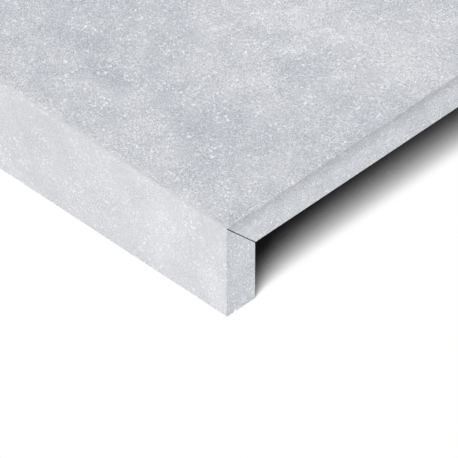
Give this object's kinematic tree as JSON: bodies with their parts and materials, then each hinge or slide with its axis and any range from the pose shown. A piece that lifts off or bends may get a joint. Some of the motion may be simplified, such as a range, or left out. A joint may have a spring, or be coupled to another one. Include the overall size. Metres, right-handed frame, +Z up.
{
  "type": "pool coping tile",
  "caption": "Rectangular porcelain pool coping tile with a mitred drop face glued under its front edge; stone-look grey, keyed back.",
  "frame": {"origin": "on the floor under the middle of the tile's outline, level with the foot of the drop face", "axes": "+X along the pool edge; -Y out of the drop face, towards the pool; +Z up out of the walked face"},
  "size_m": [0.6, 0.3, 0.055],
  "materials": {
    "slab_porcelain": "matte",
    "drop_porcelain": "matte",
    "joint_adhesive": "matte"
  },
  "bodies": {
    "root": {"deck_slab": "slab_porcelain", "drop_face": "drop_porcelain", "mitre_adhesive": "joint_adhesive"}
  },
  "joints": []
}
